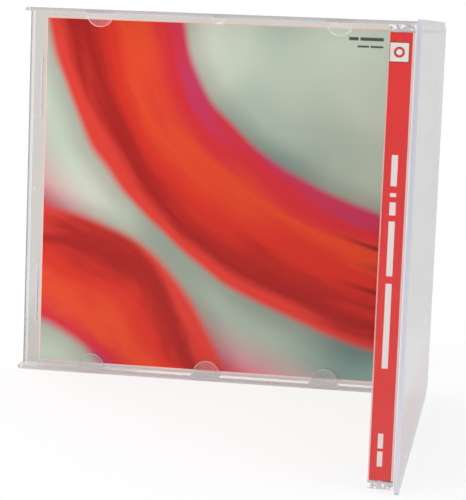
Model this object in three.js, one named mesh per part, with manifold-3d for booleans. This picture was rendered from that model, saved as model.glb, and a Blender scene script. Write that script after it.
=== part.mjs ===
// A clear jewel case for one compact disc, standing open on its lower edge.
// Each half is drawn flat in its own frame, as if the case were closed and seen from the front:
// x runs from the hinge side to the free edge, y runs up, z runs from the back face to the front face.
import * as THREE from "three";
import { mergeVertices } from "three/addons/utils/BufferGeometryUtils.js";
import Module from "manifold-3d";

const wasm = await Module();
wasm.setup();

// Disc, which the whole case is sized round, in millimetres
const DISC_RADIUS = 60;
const DISC_HOLE_RADIUS = 7.5;
const DISC_THICKNESS = 1.2;
const DISC_CHAMFER = 0.15;
const STACKING_RING_RADIUS = 17.2;
const STACKING_RING_WIDTH = 0.8;
const STACKING_RING_HEIGHT = 0.15;

// Closed case
const CASE_THICKNESS = 10.2;
const DISC_TO_EDGE = 2.5;
const PLATE = 1.2;
const CORNER_RADIUS = 1;
const OPEN_ANGLE = 90;

// Hinge
const PIN_RADIUS = 1.5;
const PIN_CLEARANCE = 0.25;
const PIN_CHAMFER = 0.3;
const ARM_CLEARANCE = 0.2;
const LID_CLEARANCE = 0.4;

// Lid
const FLANGE = 1.2;
const FLANGE_CLEARANCE = 0.3;
const TAB_RADIUS = 4.7;
const SMALL_TAB_RADIUS = 2.2;
const TAB_THICKNESS = 1;
const TAB_PITCH = 41;
const TAB_SLOT = 1.5;
const STOP_RIB_WIDTH = 0.8;
const STOP_RIB_LENGTH = 21.5;
const STOP_RIB_FROM_END = 16;
const STOP_RIB_CLEARANCE = 1.1;
const STOP_RIB_HEIGHT = 1.3;
const LIP_WIDTH = 1.6;
const LIP_HEIGHT = 0.3;
const GATE_RADIUS = 0.5;
const GATE_HEIGHT = 0.15;
const GATE_FROM_EDGE = 2.5;

// Base
const SPINE_WALL = 1.2;
const SPINE_HEIGHT = 8.4;
const SIDE_WALL = 1.2;
const SIDE_GAP = 0.3;
const SIDE_WALL_TOP = 3;
const CORNER_WALL_LENGTH = 13;

// Booklet
const BOOKLET_THICKNESS = 1.2;
const BOOKLET_FREE_EDGE = 5.8;
const BOOKLET_FOLD_EDGE = 5.6;
const BOOKLET_LOW_EDGE = 2.1;
const BOOKLET_HIGH_EDGE = 2.9;
const BOOKLET_GAP = 0.1;
const STAPLE_WIRE = 0.4;
const STAPLE_CROWN = 12;
const STAPLE_LEG = 1.6;
const STAPLE_BEND = 0.4;
const STAPLE_FROM_END = 30;
const STAPLE_CLEARANCE = 0.15;

// Inlay card
const CARD_END_GAP = 3.5;
const CARD = 0.3;
const CARD_GAP = 0.1;
const CARD_SIDE_GAP = 0.3;
const CARD_SPINE = 6.8;
const CARD_FOLD_RADIUS = 0.5;

// Tray
const TRAY_SKIN = 1;
const TRAY_GAP = 0.3;
const TRAY_FLOOR = 2;
const TRAY_TOP = 6;
const RIM_TOP = 8;
const RIM_WIDTH = 0.8;
const RIM_MARGIN = 1.4;
const WELL_MARGIN = 1.1;
const WELL_CLEARANCE = 1.5;
const FINGER_RADIUS = 11;
const BAR_WIDTH = 11.5;
const BAR_TOP = 7.9;
const BAR_RIDGES = 7;
const BAR_RIDGE_HEIGHT = 0.4;
const LUG_LENGTH = 7;
const LUG_REACH = 0.9;
const LUG_HEIGHT = 0.8;
const LUG_CLEARANCE = 0.3;
const LUG_PITCH = 46;

// Rosette hub of the tray
const SEAT_RADIUS = 16.4;
const SEAT_GAP = 0.1;
const SEAT_HEIGHT = 1.2;
const SEAT_DRAFT = 0.25;
const TOOTH_COUNT = 12;
const TOOTH_SLOT = 0.6;
const TOOTH_CLEARANCE = 0.25;
const TOOTH_BULGE = 0.45;
const TOOTH_SKIN = 0.9;
const BUTTON_HOLE_RADIUS = 2.8;
const BUTTON_RISE = 1.6;

// Places that follow from the sizes above
const PIVOT = CASE_THICKNESS / 2;
const LID_INSIDE = CASE_THICKNESS - PLATE;
const LID_START = 2 * PIVOT + LID_CLEARANCE;
const FLANGE_BOTTOM = PLATE + FLANGE_CLEARANCE;
const SIDE_OUTSIDE = FLANGE + SIDE_GAP;
const SIDE_INSIDE = SIDE_OUTSIDE + SIDE_WALL;
const CARD_LEFT = SPINE_WALL + CARD_SIDE_GAP;
const TRAY_LEFT = CARD_LEFT + CARD + TRAY_GAP;
const WELL_RADIUS = DISC_RADIUS + WELL_CLEARANCE;
const CENTRE_X = TRAY_LEFT + BAR_WIDTH + WELL_MARGIN + WELL_RADIUS;
const TRAY_RIGHT = CENTRE_X + WELL_RADIUS + RIM_MARGIN + RIM_WIDTH;
const CASE_WIDTH = TRAY_RIGHT + TRAY_LEFT;
const CASE_HEIGHT = 2 * (DISC_RADIUS + DISC_TO_EDGE);
const CENTRE_Y = CASE_HEIGHT / 2;
const CARD_RIGHT = CASE_WIDTH - CARD_LEFT;
const CARD_BOTTOM = PLATE + CARD_GAP;
const CARD_TOP = CARD_BOTTOM + CARD;
const TRAY_LOW = SIDE_INSIDE + TRAY_GAP;
const TRAY_HIGH = CASE_HEIGHT - TRAY_LOW;
const TRAY_BOTTOM = CARD_TOP + CARD_GAP;
const TRAY_FLOOR_TOP = TRAY_FLOOR + TRAY_SKIN;
const BOOKLET_START = LID_START + BOOKLET_FOLD_EDGE;
const BOOKLET_END = CASE_WIDTH - BOOKLET_FREE_EDGE;
const BOOKLET_LOW = BOOKLET_LOW_EDGE;
const BOOKLET_HIGH = CASE_HEIGHT - BOOKLET_HIGH_EDGE;
const BOOKLET_TOP = LID_INSIDE - BOOKLET_GAP;
const BOOKLET_BOTTOM = BOOKLET_TOP - BOOKLET_THICKNESS;
const BOOKLET_MIDDLE = (BOOKLET_TOP + BOOKLET_BOTTOM) / 2;
const STAPLE_CENTRES = [BOOKLET_LOW + STAPLE_FROM_END, BOOKLET_HIGH - STAPLE_FROM_END];
const TAB_TOP = LID_INSIDE - TAB_SLOT;
const SEAT_TOP = TRAY_FLOOR_TOP + SEAT_HEIGHT;
const DISC_BOTTOM = SEAT_TOP + SEAT_GAP;
const DISC_TOP = DISC_BOTTOM + DISC_THICKNESS;

// How far a cutting solid runs past the face that it cuts
const PAST = 1;
const ROUND_SEGMENTS = 96;
const SMALL_SEGMENTS = 24;
const CORNER_SEGMENTS = 6;

const CLEAR_PLASTIC = { color: 0xe9ecec, roughness: 0.06, metalness: 0, transparent: true, opacity: 0.3 };
const PAPER = { color: 0xd8452f, roughness: 0.35, metalness: 0 };
const CARD_STOCK = { color: 0xe5dfd6, roughness: 0.5, metalness: 0 };
const DISC_SILVER = { color: 0xcfd2d6, roughness: 0.12, metalness: 0.9 };
const STAPLE_STEEL = { color: 0xa9abad, roughness: 0.35, metalness: 1 };

// Closed three.js geometry to a solid that can be joined and cut
function solid(geometry) {
  const bare = geometry.index ? geometry.toNonIndexed() : geometry.clone();
  bare.deleteAttribute("normal");
  bare.deleteAttribute("uv");
  const merged = mergeVertices(bare, 1e-4);
  const mesh = new wasm.Mesh({
    numProp: 3,
    vertProperties: merged.attributes.position.array,
    triVerts: new Uint32Array(merged.index.array),
  });
  return new wasm.Manifold(mesh);
}

// Solid to a named mesh
function named(name, shape, look) {
  const { vertProperties, triVerts } = shape.getMesh();
  const geometry = new THREE.BufferGeometry();
  geometry.setAttribute("position", new THREE.BufferAttribute(vertProperties, 3));
  geometry.setIndex(new THREE.BufferAttribute(triVerts, 1));
  const flat = geometry.toNonIndexed();
  flat.computeVertexNormals();
  const mesh = new THREE.Mesh(flat, new THREE.MeshStandardMaterial(look));
  mesh.name = name;
  return mesh;
}

function box(x, y, z) {
  const geometry = new THREE.BoxGeometry(x[1] - x[0], y[1] - y[0], z[1] - z[0]);
  geometry.translate((x[0] + x[1]) / 2, (y[0] + y[1]) / 2, (z[0] + z[1]) / 2);
  return solid(geometry);
}

// An outline drawn in x and y, raised from z[0] to z[1]
function raised(outline, z, segments = CORNER_SEGMENTS) {
  const options = { depth: z[1] - z[0], bevelEnabled: false, curveSegments: segments };
  return solid(new THREE.ExtrudeGeometry(outline, options).translate(0, 0, z[0]));
}

// A side profile drawn in x and z, running from y[0] to y[1]
function along(profile, y, segments = CORNER_SEGMENTS) {
  const options = { depth: y[1] - y[0], bevelEnabled: false, curveSegments: segments };
  const geometry = new THREE.ExtrudeGeometry(profile, options);
  return solid(geometry.rotateX(Math.PI / 2).translate(0, y[1], 0));
}

// A profile of [radius, z] points revolved about the upright line through x, y
function revolved(points, x, y, segments) {
  const profile = points.map(([radius, z]) => new THREE.Vector2(radius, z));
  const geometry = new THREE.LatheGeometry(profile, segments);
  return solid(geometry.rotateX(Math.PI / 2).translate(x, y, 0));
}

function roundPost(x, y, radius, z, segments = ROUND_SEGMENTS) {
  return revolved([[0, z[0]], [radius, z[0]], [radius, z[1]], [0, z[1]]], x, y, segments);
}

// The same solid seen in a mirror across the case's mid-height
function mirrored(shape) {
  return shape.mirror([0, 1, 0]).translate([0, CASE_HEIGHT, 0]);
}

function bothEnds(shape) {
  return shape.add(mirrored(shape));
}

// Rectangle whose two corners at the free edge are rounded
function plateOutline(start) {
  const outline = new THREE.Shape();
  outline.moveTo(start, CASE_HEIGHT);
  outline.lineTo(start, 0);
  outline.absarc(CASE_WIDTH - CORNER_RADIUS, CORNER_RADIUS, CORNER_RADIUS, -Math.PI / 2, 0);
  outline.absarc(CASE_WIDTH - CORNER_RADIUS, CASE_HEIGHT - CORNER_RADIUS, CORNER_RADIUS, 0, Math.PI / 2);
  return outline;
}

// Side of the lid: a long flange that ends in a round hinge arm about the pivot
function flangeProfile() {
  const radius = PIVOT - ARM_CLEARANCE;
  const lower = Math.asin((PIVOT - FLANGE_BOTTOM) / radius);
  const profile = new THREE.Shape();
  profile.moveTo(CASE_WIDTH + PAST, FLANGE_BOTTOM);
  profile.lineTo(CASE_WIDTH + PAST, CASE_THICKNESS + PAST);
  profile.lineTo(LID_START + PAST, CASE_THICKNESS + PAST);
  profile.lineTo(LID_START, CASE_THICKNESS - ARM_CLEARANCE);
  profile.absarc(PIVOT, PIVOT, radius, Math.PI / 2, 2 * Math.PI - lower);
  return profile;
}

// Pin on the inner face of a hinge arm, with a chamfered end
function hingePin() {
  const end = SIDE_OUTSIDE + SIDE_WALL;
  const tip = end - PIN_CHAMFER;
  const profile = [
    new THREE.Vector2(0, FLANGE / 2),
    new THREE.Vector2(PIN_RADIUS, FLANGE / 2),
    new THREE.Vector2(PIN_RADIUS, tip),
    new THREE.Vector2(PIN_RADIUS - PIN_CHAMFER, end),
    new THREE.Vector2(0, end),
  ];
  return solid(new THREE.LatheGeometry(profile, SMALL_SEGMENTS).translate(PIVOT, 0, PIVOT));
}

// Half-moon outline of a tab that keeps the booklet in
function tabOutline(x, radius) {
  const outline = new THREE.Shape();
  outline.moveTo(x - radius, FLANGE / 2);
  outline.lineTo(x + radius, FLANGE / 2);
  outline.absarc(x, FLANGE, radius, 0, Math.PI);
  return outline;
}

function tab(x, radius) {
  return raised(tabOutline(x, radius), [TAB_TOP - TAB_THICKNESS, TAB_TOP], SMALL_SEGMENTS);
}

// Window that the mould core of a tab leaves in the flange
function tabWindow(x, radius) {
  return box([x - radius, x + radius], [-2 * PAST, FLANGE + PAST], [TAB_TOP, LID_INSIDE]);
}

// Ribs beside the booklet's upright edges
function stopRibs() {
  const free = BOOKLET_END + STOP_RIB_CLEARANCE;
  const hinge = BOOKLET_START - STOP_RIB_CLEARANCE - STOP_RIB_WIDTH;
  const y = [STOP_RIB_FROM_END, STOP_RIB_FROM_END + STOP_RIB_LENGTH];
  const z = [LID_INSIDE - STOP_RIB_HEIGHT, LID_INSIDE + PLATE / 2];
  const ribs = [free, hinge].map((x) => box([x, x + STOP_RIB_WIDTH], y, z));
  return bothEnds(ribs[0].add(ribs[1]));
}

// Small round mark that the mould's gate leaves on the inside of the free edge
function gateMark() {
  const z = [LID_INSIDE - GATE_HEIGHT, LID_INSIDE + PLATE / 2];
  return roundPost(CASE_WIDTH - GATE_FROM_EDGE, CENTRE_Y, GATE_RADIUS, z, SMALL_SEGMENTS);
}

function frontCover() {
  const tabs = [CENTRE_X - TAB_PITCH, CENTRE_X, CENTRE_X + TAB_PITCH];
  const lowRadius = [TAB_RADIUS, TAB_RADIUS, TAB_RADIUS];
  const highRadius = [TAB_RADIUS, SMALL_TAB_RADIUS, TAB_RADIUS];
  const lip = [CASE_WIDTH - LIP_WIDTH, CASE_WIDTH + PAST];
  const tall = [-PAST, CASE_HEIGHT + PAST];
  let cover = box([LID_START, CASE_WIDTH + PAST], tall, [LID_INSIDE, CASE_THICKNESS + PAST]);
  const lipRun = [FLANGE / 2, CASE_HEIGHT - FLANGE / 2];
  cover = cover.add(box(lip, lipRun, [LID_INSIDE - LIP_HEIGHT, CASE_THICKNESS]));
  cover = cover.add(bothEnds(along(flangeProfile(), [-PAST, FLANGE], SMALL_SEGMENTS).add(hingePin())));
  cover = cover.add(stopRibs());
  cover = cover.add(gateMark());
  tabs.forEach((x, i) => {
    cover = cover.subtract(tabWindow(x, lowRadius[i]));
    cover = cover.subtract(mirrored(tabWindow(x, highRadius[i])));
    cover = cover.add(tab(x, lowRadius[i]));
    cover = cover.add(mirrored(tab(x, highRadius[i])));
  });
  return cover.intersect(raised(plateOutline(0), [0, CASE_THICKNESS]));
}

// Closed booklet with a round fold at the hinge side and two slots for the staples' legs
function bookletProfile() {
  const fold = BOOKLET_THICKNESS / 2;
  const profile = new THREE.Shape();
  profile.moveTo(BOOKLET_END, BOOKLET_BOTTOM);
  profile.lineTo(BOOKLET_END, BOOKLET_TOP);
  profile.absarc(BOOKLET_START + fold, BOOKLET_TOP - fold, fold, Math.PI / 2, (3 * Math.PI) / 2);
  return profile;
}

function booklet() {
  let pages = along(bookletProfile(), [BOOKLET_LOW, BOOKLET_HIGH]);
  const half = STAPLE_WIRE / 2 + STAPLE_CLEARANCE;
  const x = [BOOKLET_START - PAST, BOOKLET_START + STAPLE_LEG + STAPLE_CLEARANCE];
  const z = [BOOKLET_MIDDLE - half, BOOKLET_MIDDLE + half];
  const legs = (STAPLE_CROWN - STAPLE_WIRE) / 2;
  for (const centre of STAPLE_CENTRES) {
    for (const y of [centre - legs, centre + legs]) {
      pages = pages.subtract(box(x, [y - half, y + half], z));
    }
  }
  return pages;
}

// Wire staple: a crown outside the fold and two legs through it
function staple(centre) {
  const half = (STAPLE_CROWN - STAPLE_WIRE) / 2;
  const crown = BOOKLET_START - STAPLE_WIRE / 2 - STAPLE_CLEARANCE / 2;
  const tip = BOOKLET_START + STAPLE_LEG;
  const bend = crown + STAPLE_BEND;
  const low = centre - half;
  const high = centre + half;
  const at = (x, y) => new THREE.Vector3(x, y, BOOKLET_MIDDLE);
  const lowBend = [at(bend, low), at(crown, low), at(crown, low + STAPLE_BEND)];
  const highBend = [at(crown, high - STAPLE_BEND), at(crown, high), at(bend, high)];
  const path = new THREE.CurvePath();
  path.add(new THREE.LineCurve3(at(tip, low), lowBend[0]));
  path.add(new THREE.QuadraticBezierCurve3(...lowBend));
  path.add(new THREE.LineCurve3(lowBend[2], highBend[0]));
  path.add(new THREE.QuadraticBezierCurve3(...highBend));
  path.add(new THREE.LineCurve3(highBend[2], at(tip, high)));
  const section = new THREE.Shape().absarc(0, 0, STAPLE_WIRE / 2, 0, 2 * Math.PI);
  const options = { steps: 24, curveSegments: 2, bevelEnabled: false, extrudePath: path };
  return solid(new THREE.ExtrudeGeometry(section, options));
}

// Base: back plate cut away where the hinge arms swing, two spine walls, side walls with the pin holes
function backShell() {
  const notchEnd = PIVOT + Math.sqrt(PIVOT ** 2 - (PIVOT - FLANGE_BOTTOM) ** 2) + FLANGE_CLEARANCE;
  const inner = [SIDE_OUTSIDE, CASE_HEIGHT - SIDE_OUTSIDE];
  let shell = box([-PAST, CASE_WIDTH + PAST], [-PAST, CASE_HEIGHT + PAST], [-PAST, PLATE]);
  shell = shell.add(box([-PAST, SPINE_WALL], inner, [-PAST, SPINE_HEIGHT]));
  shell = shell.add(box([CASE_WIDTH - SPINE_WALL, CASE_WIDTH + PAST], inner, [-PAST, SPINE_HEIGHT]));
  const notch = box([-2 * PAST, notchEnd], [-2 * PAST, SIDE_OUTSIDE], [-2 * PAST, PLATE + PAST]);
  shell = shell.subtract(bothEnds(notch));
  shell = shell.intersect(raised(plateOutline(0), [0, CASE_THICKNESS]));
  const side = [SIDE_OUTSIDE, SIDE_INSIDE];
  const farCorner = CASE_WIDTH - CORNER_WALL_LENGTH;
  let wall = box([SPINE_WALL / 2, CASE_WIDTH - SPINE_WALL / 2], side, [PLATE / 2, SIDE_WALL_TOP]);
  wall = wall.add(box([SPINE_WALL / 2, CORNER_WALL_LENGTH], side, [PLATE / 2, SPINE_HEIGHT]));
  const underBooklet = BOOKLET_BOTTOM - LID_CLEARANCE;
  wall = wall.add(box([farCorner, CASE_WIDTH - SPINE_WALL / 2], side, [PLATE / 2, underBooklet]));
  wall = wall.subtract(pinHole());
  for (const x of lugCentres()) wall = wall.subtract(lugBox(x, LUG_CLEARANCE));
  return shell.add(bothEnds(wall));
}

function pinHole() {
  const radius = PIN_RADIUS + PIN_CLEARANCE;
  const length = SIDE_WALL + 2 * PAST;
  const geometry = new THREE.CylinderGeometry(radius, radius, length, SMALL_SEGMENTS);
  return solid(geometry.translate(PIVOT, SIDE_OUTSIDE + SIDE_WALL / 2, PIVOT));
}

// Snap lugs of the tray and the holes in the side walls that they reach into
function lugCentres() {
  return [CENTRE_X - LUG_PITCH, CENTRE_X, CENTRE_X + LUG_PITCH];
}

function lugBox(x, clearance) {
  const half = LUG_LENGTH / 2 + clearance;
  const low = TRAY_LOW - (clearance > 0 ? SIDE_WALL + TRAY_GAP + PAST : LUG_REACH);
  const z = [TRAY_BOTTOM - clearance, TRAY_BOTTOM + LUG_HEIGHT + clearance];
  return box([x - half, x + half], [low, TRAY_LOW + TRAY_SKIN / 2], z);
}

// Inlay card: a back panel with both spine strips folded up
function trayCard() {
  const outer = CARD_FOLD_RADIUS;
  const inner = CARD_FOLD_RADIUS - CARD;
  const top = CARD_BOTTOM + CARD_SPINE;
  const profile = new THREE.Shape();
  profile.moveTo(CARD_LEFT + CARD, top);
  profile.lineTo(CARD_LEFT, top);
  profile.absarc(CARD_LEFT + outer, CARD_BOTTOM + outer, outer, Math.PI, (3 * Math.PI) / 2);
  profile.absarc(CARD_RIGHT - outer, CARD_BOTTOM + outer, outer, -Math.PI / 2, 0);
  profile.lineTo(CARD_RIGHT, top);
  profile.lineTo(CARD_RIGHT - CARD, top);
  profile.absarc(CARD_RIGHT - outer, CARD_BOTTOM + outer, inner, 0, -Math.PI / 2, true);
  profile.absarc(CARD_LEFT + outer, CARD_BOTTOM + outer, inner, (3 * Math.PI) / 2, Math.PI, true);
  return along(profile, [CARD_END_GAP, CASE_HEIGHT - CARD_END_GAP]);
}

// Disc with chamfered rim, centre hole and the thin stacking ring under it
function disc() {
  const ring = STACKING_RING_RADIUS;
  const points = [
    [DISC_HOLE_RADIUS, DISC_BOTTOM],
    [ring, DISC_BOTTOM],
    [ring, DISC_BOTTOM - STACKING_RING_HEIGHT],
    [ring + STACKING_RING_WIDTH, DISC_BOTTOM - STACKING_RING_HEIGHT],
    [ring + STACKING_RING_WIDTH, DISC_BOTTOM],
    [DISC_RADIUS - DISC_CHAMFER, DISC_BOTTOM],
    [DISC_RADIUS, DISC_BOTTOM + DISC_CHAMFER],
    [DISC_RADIUS, DISC_TOP - DISC_CHAMFER],
    [DISC_RADIUS - DISC_CHAMFER, DISC_TOP],
    [DISC_HOLE_RADIUS, DISC_TOP],
    [DISC_HOLE_RADIUS, DISC_BOTTOM],
  ];
  return revolved(points, CENTRE_X, CENTRE_Y, ROUND_SEGMENTS);
}

// Disc well and the four finger recesses round it, grown by a margin
function wellPosts(margin, z) {
  let posts = roundPost(CENTRE_X, CENTRE_Y, WELL_RADIUS + margin, z);
  for (let i = 0; i < 4; i++) {
    const angle = Math.PI / 4 + (i * Math.PI) / 2;
    const x = CENTRE_X + WELL_RADIUS * Math.cos(angle);
    const y = CENTRE_Y + WELL_RADIUS * Math.sin(angle);
    posts = posts.add(roundPost(x, y, FINGER_RADIUS + margin, z, 2 * SMALL_SEGMENTS));
  }
  return posts;
}

// Outer form of the tray: flat plateau, bar at the hinge side, rim at the free side
function trayBlock(inset, top) {
  const x = [TRAY_LEFT + inset, TRAY_RIGHT - inset];
  const y = [TRAY_LOW + inset, TRAY_HIGH - inset];
  const bar = [x[0], TRAY_LEFT + BAR_WIDTH - inset];
  const low = TRAY_BOTTOM - (inset > 0 ? PAST : 0);
  return box(x, y, [low, TRAY_TOP - inset]).add(box(bar, y, [low, top - inset]));
}

function barRidges() {
  const pitch = BAR_WIDTH / (BAR_RIDGES + 1);
  const half = pitch / 3;
  let ridges = null;
  for (let i = 1; i <= BAR_RIDGES; i++) {
    const x = TRAY_LEFT + i * pitch;
    const profile = new THREE.Shape();
    profile.moveTo(x - half, BAR_TOP - TRAY_SKIN / 2);
    profile.lineTo(x + half, BAR_TOP - TRAY_SKIN / 2);
    profile.lineTo(x + half, BAR_TOP);
    profile.lineTo(x, BAR_TOP + BAR_RIDGE_HEIGHT);
    profile.lineTo(x - half, BAR_TOP);
    const ridge = along(profile, [TRAY_LOW + TRAY_SKIN, TRAY_HIGH - TRAY_SKIN]);
    ridges = ridges ? ridges.add(ridge) : ridge;
  }
  return ridges;
}

// Hub: a hollow seat that carries the disc and a crown of sprung teeth that snap over its hole
function rosette() {
  const tooth = DISC_HOLE_RADIUS - TOOTH_CLEARANCE;
  const bulge = tooth + TOOTH_BULGE;
  const inside = tooth - TOOTH_SKIN;
  const top = DISC_TOP + BUTTON_RISE;
  const seatInside = SEAT_RADIUS - TRAY_SKIN;
  const points = [
    [SEAT_RADIUS + 2 * TRAY_SKIN, TRAY_FLOOR],
    [SEAT_RADIUS + 2 * TRAY_SKIN, TRAY_FLOOR_TOP],
    [SEAT_RADIUS + SEAT_DRAFT, TRAY_FLOOR_TOP],
    [SEAT_RADIUS, SEAT_TOP],
    [tooth, SEAT_TOP],
    [tooth, DISC_TOP + SEAT_GAP],
    [bulge, DISC_TOP + TOOTH_BULGE],
    [tooth, DISC_TOP + 2 * TOOTH_BULGE],
    [inside, top],
    [BUTTON_HOLE_RADIUS, top - TOOTH_BULGE / 2],
    [BUTTON_HOLE_RADIUS, top - TOOTH_BULGE / 2 - TOOTH_SKIN],
    [inside - TOOTH_SKIN, top - TOOTH_SKIN],
    [inside, top - 2 * TOOTH_SKIN],
    [inside, SEAT_TOP - TRAY_SKIN],
    [seatInside, SEAT_TOP - TRAY_SKIN],
    [seatInside, TRAY_FLOOR],
    [SEAT_RADIUS + 2 * TRAY_SKIN, TRAY_FLOOR],
  ];
  let hub = revolved(points, CENTRE_X, CENTRE_Y, ROUND_SEGMENTS);
  for (let i = 0; i < TOOTH_COUNT; i++) {
    const slot = new THREE.BoxGeometry(2 * tooth, TOOTH_SLOT, BUTTON_RISE + DISC_THICKNESS + PAST);
    slot.translate(tooth, 0, SEAT_TOP + SEAT_GAP + (BUTTON_RISE + DISC_THICKNESS + PAST) / 2);
    slot.rotateZ((2 * Math.PI * i) / TOOTH_COUNT);
    hub = hub.subtract(solid(slot.translate(CENTRE_X, CENTRE_Y, 0)));
  }
  return hub;
}

function discTray() {
  const open = RIM_TOP + PAST;
  let tray = trayBlock(0, BAR_TOP).add(barRidges());
  tray = tray.subtract(wellPosts(0, [TRAY_FLOOR_TOP, open]));
  const hollow = trayBlock(TRAY_SKIN, BAR_TOP);
  tray = tray.subtract(hollow.subtract(wellPosts(TRAY_SKIN, [TRAY_FLOOR, open])));
  const rim = [TRAY_RIGHT - RIM_WIDTH, TRAY_RIGHT];
  tray = tray.add(box(rim, [TRAY_LOW, TRAY_HIGH], [TRAY_TOP - TRAY_SKIN, RIM_TOP]));
  const hubHole = roundPost(CENTRE_X, CENTRE_Y, SEAT_RADIUS + TRAY_SKIN, [0, TRAY_FLOOR_TOP + PAST]);
  tray = tray.subtract(hubHole);
  let lugs = lugBox(CENTRE_X, 0);
  for (const x of lugCentres()) lugs = lugs.add(lugBox(x, 0));
  return tray.add(rosette()).add(bothEnds(lugs));
}

// Base half: it holds the inlay card, the tray and the disc
const base = new THREE.Group();
base.add(named("back_shell", backShell(), CLEAR_PLASTIC));
base.add(named("tray_card", trayCard(), CARD_STOCK));
base.add(named("disc_tray", discTray(), CLEAR_PLASTIC));
base.add(named("disc", disc(), DISC_SILVER));

// Lid half: it holds the booklet and its staples
const lid = new THREE.Group();
const [lowStaple, highStaple] = STAPLE_CENTRES;
lid.add(named("front_cover", frontCover(), CLEAR_PLASTIC));
lid.add(named("booklet", booklet(), PAPER));
lid.add(named("staple_lower", staple(lowStaple), STAPLE_STEEL));
lid.add(named("staple_upper", staple(highStaple), STAPLE_STEEL));
lid.position.set(-PIVOT, 0, -PIVOT);

// The lid is turned about the hinge line through the pivot
const hinge = new THREE.Group();
hinge.position.set(PIVOT, 0, PIVOT);
hinge.rotation.y = THREE.MathUtils.degToRad(-OPEN_ANGLE);
hinge.add(lid);

// The base stands on its lower edge with its spine to the front and its back face to the right
const stand = new THREE.Group();
const across = new THREE.Vector3(0, -1, 0);
const up = new THREE.Vector3(0, 0, 1);
const through = new THREE.Vector3(-1, 0, 0);
stand.quaternion.setFromRotationMatrix(new THREE.Matrix4().makeBasis(across, up, through));
stand.position.set(CASE_WIDTH / 2, CASE_WIDTH / 2, 0);
stand.add(base, hinge);

const group = new THREE.Group();
group.add(stand);

export default group;
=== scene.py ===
import math

import bmesh
import bpy
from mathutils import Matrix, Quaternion, Vector


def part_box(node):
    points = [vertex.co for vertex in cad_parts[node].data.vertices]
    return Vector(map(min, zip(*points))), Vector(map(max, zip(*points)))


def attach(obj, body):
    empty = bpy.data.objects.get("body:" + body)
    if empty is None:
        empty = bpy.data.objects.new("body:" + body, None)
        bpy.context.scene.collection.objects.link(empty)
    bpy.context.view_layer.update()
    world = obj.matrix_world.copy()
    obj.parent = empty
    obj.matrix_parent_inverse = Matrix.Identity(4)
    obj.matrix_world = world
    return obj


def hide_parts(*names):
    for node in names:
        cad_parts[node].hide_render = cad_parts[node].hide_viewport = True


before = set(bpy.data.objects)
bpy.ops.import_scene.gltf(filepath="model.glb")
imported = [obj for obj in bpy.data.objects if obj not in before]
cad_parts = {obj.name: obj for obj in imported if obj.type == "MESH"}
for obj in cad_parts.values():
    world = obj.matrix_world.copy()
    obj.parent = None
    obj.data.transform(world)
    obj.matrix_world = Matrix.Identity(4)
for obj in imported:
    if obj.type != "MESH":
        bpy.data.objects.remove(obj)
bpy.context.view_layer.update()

MM = 0.001

# The photograph's frame, and the camera that was fitted to it
PHOTO_HEIGHT = 500
FOCAL_PIXELS = 1802
SENSOR_HEIGHT = 36
CAMERA_PLACE = Vector((97.3, -536.7, 122.4)) * MM
CAMERA_AIM = Vector((13.2, 0, 53.8)) * MM
CAMERA_ROLL = math.radians(2.19)

# Sizes of the clear mouldings, in millimetres; a top or an inside is counted from the case's back
CASE_THICKNESS = 10.2
PLATE = 1.2
LID_INSIDE = CASE_THICKNESS - PLATE
LID_START = 10.6
FLANGE = 1.2
FLANGE_BOTTOM = 1.5
LIP_WIDTH = 1.6
STOP_RIB = 1.5
TAB_RADIUS = 4.7
SMALL_TAB_RADIUS = 2.2
TAB_PITCH = 41
TAB_TOP = 7.5
SIDE_INSIDE = 2.7
SPINE_HEIGHT = 8.4
TRAY_TOP = 8.0
MOULD_EDGE = 0.14
WELD = 0.002

# Where light is painted on the clear mouldings, in millimetres: the pale end of a plate, the
# painted highlight bar along the lower flange, the highlight line on the lip, the highlight line
# where the base's wall meets its plate, and the painted glints
END_FADE, END_FULL = 0.42, 0.2
BAR_MIDDLE = 5.3
BAR_FULL, BAR_GONE = 92.0, 118.0
LIP_HIGHLIGHT_INSET = LIP_WIDTH - 0.25
PLATE_WALL_HIGHLIGHT_OUT = 1.46
GLINT_HEIGHT = 2.25
SPINE_DEPTH = 2.0

# Sizes of paper, card, staples and disc, in millimetres
SHEET_COUNT = 6
SHEET_FILL = 0.9
FOLD_COLUMNS, FOLD_ROWS = 33, 2
PAPER_MARGIN = 0.5
CARD_SHEET = 0.3
LABEL_FOLD = 0.95
# A painted shadow line and a painted highlight line lie by the card's fold, this far from it
FOLD_SHADOW_LINE = 0.46
FOLD_HIGHLIGHT_LINE = 0.32
STAPLE_WIRE = 0.2
STAPLE_CROWN = 11.6
STAPLE_BEND = 0.35
HOLE_RADIUS = 7.5
RING_HEIGHT = 0.15
DISC_CLEAR = 18.0
DISC_BAND = 22.5
DISC_PRINT_END = 58.6
DISC_STEPS = 180

# Angles in degrees: faces this flat are joined, and edges this sharp stay sharp
FLAT_ANGLE = 0.6
EDGE_ANGLE = 32
CURVE_ANGLE = 40

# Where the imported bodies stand, in millimetres
shell_low, shell_high = (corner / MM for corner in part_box("back_shell"))
_, cover_high = (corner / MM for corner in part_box("front_cover"))
card_low, card_high = (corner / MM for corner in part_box("tray_card"))
booklet_low, booklet_high = (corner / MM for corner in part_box("booklet"))
disc_low, disc_high = (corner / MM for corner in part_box("disc"))
HALF = shell_high.x
FRONT_OFFSET = cover_high.y - CASE_THICKNESS
CASE_WIDTH = shell_high.y - shell_low.y
CASE_HEIGHT = shell_high.z
DISC_ACROSS = HALF - (disc_low.y + disc_high.y) / 2
DISC_UP = (disc_low.z + disc_high.z) / 2
PAGES_MIDDLE = (booklet_low.y + booklet_high.y) / 2 - FRONT_OFFSET
PAGES_HALF = (booklet_high.y - booklet_low.y) / 2
PAGES_FOLD = HALF - booklet_high.x
PAGES_FREE = HALF - booklet_low.x
PAGES_WIDTH = PAGES_FREE - PAGES_FOLD
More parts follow.
